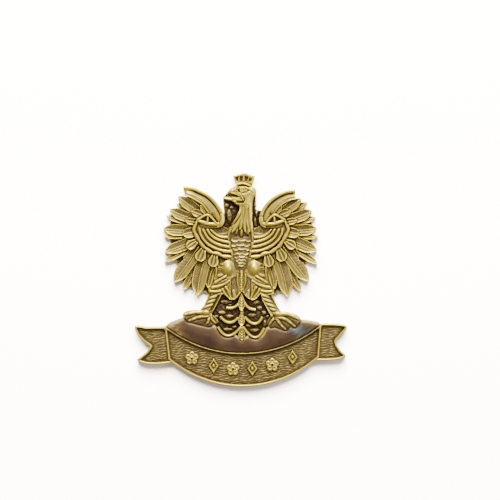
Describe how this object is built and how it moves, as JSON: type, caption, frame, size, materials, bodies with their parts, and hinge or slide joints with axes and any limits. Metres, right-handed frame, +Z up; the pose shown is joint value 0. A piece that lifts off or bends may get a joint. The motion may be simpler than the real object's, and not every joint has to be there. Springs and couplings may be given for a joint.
{
  "type": "cap badge",
  "caption": "Cap badge in antique gilt relief: a crowned eagle with spread wings on a mound above a forked scroll, on a flat back plate with pin posts and butterfly clutches.",
  "frame": {"origin": "middle of the flat back face, halfway across the scroll and halfway up the badge", "axes": "+Y out of the back face along the posts, so the relief faces -Y; +Z up to the headgear; +X to the viewer's right"},
  "size_m": [0.045, 0.0127, 0.0453],
  "materials": {
    "plate_bronze": "dark antique patina, satin",
    "mound_brown": "glossy dark brown lacquer",
    "antique_gilt": "satin antique gilt with dark patina in the recesses",
    "post_brass": "bright drawn wire",
    "clutch_brass": "bright pressed sheet",
    "spring_brass": "bright pressed spring strip"
  },
  "bodies": {
    "badge": {"backing_plate": "plate_bronze", "left_wing": "antique_gilt", "right_wing": "antique_gilt", "torso": "antique_gilt", "head": "antique_gilt", "crown": "antique_gilt", "left_leg": "antique_gilt", "right_leg": "antique_gilt", "tail": "antique_gilt", "mound": "mound_brown", "scroll_panel": "antique_gilt", "left_scroll_tail": "antique_gilt", "right_scroll_tail": "antique_gilt", "scroll_ornaments": "antique_gilt", "left_post": "post_brass", "right_post": "post_brass"},
    "left_clutch_carrier": {"left_clutch_washer": "clutch_brass"},
    "left_clutch_shell": {"left_clutch_base": "clutch_brass"},
    "left_spring_top_half": {"left_top_spring": "spring_brass"},
    "left_spring_bottom_half": {"left_bottom_spring": "spring_brass"},
    "right_clutch_carrier": {"right_clutch_washer": "clutch_brass"},
    "right_clutch_shell": {"right_clutch_base": "clutch_brass"},
    "right_spring_top_half": {"right_top_spring": "spring_brass"},
    "right_spring_bottom_half": {"right_bottom_spring": "spring_brass"}
  },
  "joints": [
    {"name": "left_clutch_slide", "type": "slide", "parent": "badge", "child": "left_clutch_carrier", "axis": [0, 1, 0], "range_m": [-0.001, 0.016]},
    {"name": "left_clutch_spin", "type": "hinge", "parent": "left_clutch_carrier", "child": "left_clutch_shell", "pos_m": [-0.0095, 0.0055, 0.007], "axis": [0, 1, 0], "continuous": true},
    {"name": "left_top_squeeze", "type": "slide", "parent": "left_clutch_shell", "child": "left_spring_top_half", "axis": [0, 0, -1], "range_m": [0, 0.0006], "stiffness_N_per_m": 500, "springref_m": -0.001},
    {"name": "left_bottom_squeeze", "type": "slide", "parent": "left_clutch_shell", "child": "left_spring_bottom_half", "axis": [0, 0, 1], "range_m": [0, 0.0006], "stiffness_N_per_m": 500, "springref_m": -0.001},
    {"name": "right_clutch_slide", "type": "slide", "parent": "badge", "child": "right_clutch_carrier", "axis": [0, 1, 0], "range_m": [-0.001, 0.016]},
    {"name": "right_clutch_spin", "type": "hinge", "parent": "right_clutch_carrier", "child": "right_clutch_shell", "pos_m": [0.0095, 0.0055, 0.007], "axis": [0, 1, 0], "continuous": true},
    {"name": "right_top_squeeze", "type": "slide", "parent": "right_clutch_shell", "child": "right_spring_top_half", "axis": [0, 0, -1], "range_m": [0, 0.0006], "stiffness_N_per_m": 500, "springref_m": -0.001},
    {"name": "right_bottom_squeeze", "type": "slide", "parent": "right_clutch_shell", "child": "right_spring_bottom_half", "axis": [0, 0, 1], "range_m": [0, 0.0006], "stiffness_N_per_m": 500, "springref_m": -0.001}
  ],
  "couplings": [
    {"joint": "left_bottom_squeeze", "follows": "left_top_squeeze", "ratio": 1},
    {"joint": "right_bottom_squeeze", "follows": "right_top_squeeze", "ratio": 1}
  ]
}
